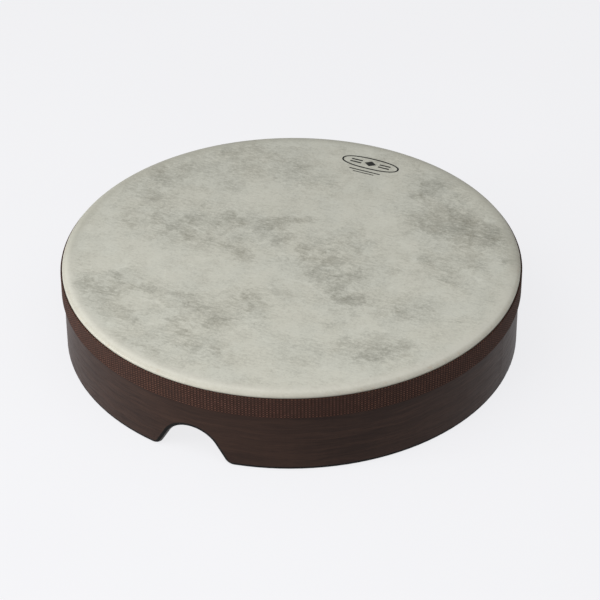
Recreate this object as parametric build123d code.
from build123d import *
import os
from math import cos, radians, sin, sqrt, tan

# A shallow hand frame drum: a laminated ring shell, a film head bonded over its
# bearing edge, and a woven tape round the head's skirt.
# Millimetres. The drum rests on the shell's open edge: z = 0 is that edge, +Z points
# through the head, and -Y points through the middle of the hand notch.

# ---- shell ----
shell_radius = 165.0  # outer face
shell_height = 65.75  # open edge to the crest of the bearing edge
butt = 90.0  # slope of a square joint, in degrees from the ply's face
scarf = 30.0  # slope of a slanted joint
# Plies from the inside out: name, thickness, azimuth and slope of the seam.
shell_plies = [
    ("shell_inner_face_ply", 0.8, 62.0, butt),
    ("shell_inner_cross_ply", 1.8, 158.0, scarf),
    ("shell_core_ply", 2.8, 20.0, scarf),
    ("shell_outer_cross_ply", 1.8, 130.0, scarf),
    ("shell_outer_face_ply", 0.8, 96.0, butt),
]
seam_gap = 0.2  # glue-filled gap where a ply's two ends meet
open_edge_radius = 2.8  # rounding of the open edge and the notch, both sides

# ---- bearing edge ----
crest_inner_radius = 1.0  # rounding towards the inside
crest_flat = 0.2  # width of the crest's flat
shoulder_drop = 2.6  # how far the bearing edge falls to the outer face

# ---- hand notch, cut straight through the shell along Y ----
notch_arch_radius = 20.6
notch_arch_height = 4.8  # z of the arch's centre
notch_flank_angle = 60.0  # from the open edge
notch_corner_radius = 8.0  # where the flanks meet the open edge

# ---- head ----
bond_thickness = 0.1  # adhesive under the skirt
film_thickness = 0.2
fibre_thickness = 0.15
skirt_bottom = 46.1
bond_bottom = 46.7
bond_top = 62.6
fibre_bottom = 61.7  # the fibre layer ends just behind the tape's top edge

# ---- tape ----
tape_bottom = 45.7
tape_top = 61.9
tape_radius = 166.8  # outer face
tape_edge_radius = 0.5
tape_seam_azimuth = 84.0
tape_seam_gap = 0.3
tape_bond_margin = 0.6  # how far the tape's adhesive stays inside its edges

# ---- worked out ----
shell_thickness = sum(thickness for name, thickness, azimuth, slope in shell_plies)
shell_inner_radius = shell_radius - shell_thickness
shoulder_centre = shell_inner_radius + crest_inner_radius + crest_flat
shoulder_width = shell_radius - shoulder_centre
shoulder_base = shell_height - shoulder_drop
film_inner_radius = shell_radius + bond_thickness
film_outer_radius = film_inner_radius + film_thickness
fibre_outer_radius = film_outer_radius + fibre_thickness
reach = 2 * shell_radius  # longer than any cut has to be
below = 20.0  # how far the blanks and cutters run under the open edge
spare = 1.0  # how far a cutting ring runs past the wall
touching = 0.01  # distance at which an edge counts as lying on a cylinder


def revolved(*edges):
    """The solid that a closed outline of (radius, z) edges makes about Z."""
    return revolve(Plane.XZ * make_face(Curve() + list(edges)), axis=Axis.Z)


def ring(inner, outer, bottom, top):
    """A plain cylindrical ring about Z."""
    height = top - bottom
    tube = Cylinder(outer, height) - Cylinder(inner, height)
    return Pos(0, 0, (bottom + top) / 2) * tube


def seam_cutter(radius, azimuth, gap, angle, length):
    """A thin upright slab across a ring's wall, at that angle from its face."""
    slab = Box(length, gap, reach)
    place = Rot(0, 0, azimuth) * Pos(radius, 0, 0) * Rot(0, 0, 90 - angle)
    return place * slab


def shoulder_arc(extra_radius, extra_height):
    """A quarter ellipse over the bearing edge, from the crest out to the skirt."""
    return EllipticalCenterArc(
        (shoulder_centre, shoulder_base),
        shoulder_width + extra_radius,
        shoulder_drop + extra_height,
        start_angle=0,
        arc_size=90,
    )


def shell_blank():
    """The whole shell wall with its bearing edge, too long at the open edge."""
    crest_start = (shell_inner_radius, shell_height - crest_inner_radius)
    crest_end = (shell_inner_radius + crest_inner_radius, shell_height)
    return revolved(
        Line((shell_radius, -below), (shell_radius, shoulder_base)),
        shoulder_arc(0, 0),
        Line((shoulder_centre, shell_height), crest_end),
        RadiusArc(crest_end, crest_start, -crest_inner_radius),
        Line(crest_start, (shell_inner_radius, -below)),
        Line((shell_inner_radius, -below), (shell_radius, -below)),
    )


def open_edge_cutter():
    """Everything under the open edge, with the notch's outline on the -Y side."""
    flank = radians(notch_flank_angle)
    arch_x = notch_arch_radius * sin(flank)
    arch_z = notch_arch_height + notch_arch_radius * cos(flank)
    corner_x = arch_x + arch_z / tan(flank)
    tangent = notch_corner_radius * tan(flank / 2)
    toe_x = corner_x + tangent
    heel_x = corner_x - tangent * cos(flank)
    heel_z = tangent * sin(flank)
    crown = (0, notch_arch_height + notch_arch_radius)
    outline = [
        Line((-reach, -below), (-reach, 0)),
        Line((-reach, 0), (-toe_x, 0)),
        RadiusArc((-toe_x, 0), (-heel_x, heel_z), -notch_corner_radius),
        Line((-heel_x, heel_z), (-arch_x, arch_z)),
        ThreePointArc((-arch_x, arch_z), crown, (arch_x, arch_z)),
        Line((arch_x, arch_z), (heel_x, heel_z)),
        RadiusArc((heel_x, heel_z), (toe_x, 0), -notch_corner_radius),
        Line((toe_x, 0), (reach, 0)),
        Line((reach, 0), (reach, -below)),
        Line((reach, -below), (-reach, -below)),
    ]
    front = extrude(Plane.XZ * make_face(Curve() + outline), reach)
    back = Pos(0, reach / 2, -below / 2) * Box(2 * reach, reach, below)
    return front + back


def on_cylinder(edge, radius):
    """True where the whole edge lies on the cylinder of that radius."""
    places = [edge @ (step / 4) for step in range(5)]
    return all(abs(sqrt(p.X**2 + p.Y**2) - radius) < touching for p in places)


def shell():
    """The finished wall, with its open edge and notch rounded on both faces."""
    wall = shell_blank() - open_edge_cutter()
    highest_notch = notch_arch_height + notch_arch_radius + spare
    low = [e for e in wall.edges() if e.bounding_box().max.Z < highest_notch]
    faces = (shell_inner_radius, shell_radius)
    edges = [e for e in low if any(on_cylinder(e, r) for r in faces)]
    return fillet(edges, open_edge_radius)


def plies():
    """The shell's plies by name, each a bent strip whose ends meet at a seam."""
    wall = shell()
    inner = shell_inner_radius
    result = {}
    for name, thickness, azimuth, slope in shell_plies:
        outer = inner + thickness
        # the two face plies run out past the wall, so that they keep its own faces
        cut_inner = inner - (spare if name == shell_plies[0][0] else 0)
        cut_outer = outer + (spare if name == shell_plies[-1][0] else 0)
        strip = wall & ring(cut_inner, cut_outer, -spare, shell_height + spare)
        across = 2 * thickness / sin(radians(slope))
        middle = (inner + outer) / 2
        result[name] = strip - seam_cutter(middle, azimuth, seam_gap, slope, across)
        inner = outer
    return result


def head_film():
    """The base film: a flat face, the shoulder and the skirt."""
    face_top = shell_height + film_thickness
    film_under = (shoulder_centre, shell_height)
    return revolved(
        Line((0, shell_height), (0, face_top)),
        Line((0, face_top), (shoulder_centre, face_top)),
        shoulder_arc(film_outer_radius - shell_radius, film_thickness),
        Line((film_outer_radius, shoulder_base), (film_outer_radius, skirt_bottom)),
        Line((film_outer_radius, skirt_bottom), (film_inner_radius, skirt_bottom)),
        Line((film_inner_radius, skirt_bottom), (film_inner_radius, shoulder_base)),
        shoulder_arc(film_inner_radius - shell_radius, 0),
        Line(film_under, (0, shell_height)),
    )


def head_fibre_layer():
    """The mottled fibre layer on the film's face, ending behind the tape."""
    under = shell_height + film_thickness
    top = under + fibre_thickness
    return revolved(
        Line((0, under), (0, top)),
        Line((0, top), (shoulder_centre, top)),
        shoulder_arc(fibre_outer_radius - shell_radius, top - shell_height),
        Line((fibre_outer_radius, shoulder_base), (fibre_outer_radius, fibre_bottom)),
        Line((fibre_outer_radius, fibre_bottom), (film_outer_radius, fibre_bottom)),
        Line((film_outer_radius, fibre_bottom), (film_outer_radius, shoulder_base)),
        shoulder_arc(film_outer_radius - shell_radius, film_thickness),
        Line((shoulder_centre, under), (0, under)),
    )


def rim_tape():
    """The woven tape: a bent strip with soft outer edges, butted at its seam."""
    band = ring(fibre_outer_radius, tape_radius, tape_bottom, tape_top)
    rims = [e for e in band.edges() if e.geom_type == GeomType.CIRCLE]
    outer = [e for e in rims if abs(e.radius - tape_radius) < touching]
    band = fillet(outer, tape_edge_radius)
    middle = (fibre_outer_radius + tape_radius) / 2
    across = 4 * (tape_radius - fibre_outer_radius)
    return band - seam_cutter(middle, tape_seam_azimuth, tape_seam_gap, butt, across)


def parts():
    """Every node by name."""
    nodes = plies()
    nodes["head_bond"] = ring(shell_radius, film_inner_radius, bond_bottom, bond_top)
    nodes["head_film"] = head_film()
    nodes["head_fibre_layer"] = head_fibre_layer()
    nodes["tape_bond"] = ring(
        film_outer_radius,
        fibre_outer_radius,
        tape_bottom + tape_bond_margin,
        fibre_bottom - tape_bond_margin,
    )
    nodes["rim_tape"] = rim_tape()
    return nodes


os.makedirs("parts", exist_ok=True)
for node, shape in parts().items():
    export_step(shape, f"parts/{node}.step")
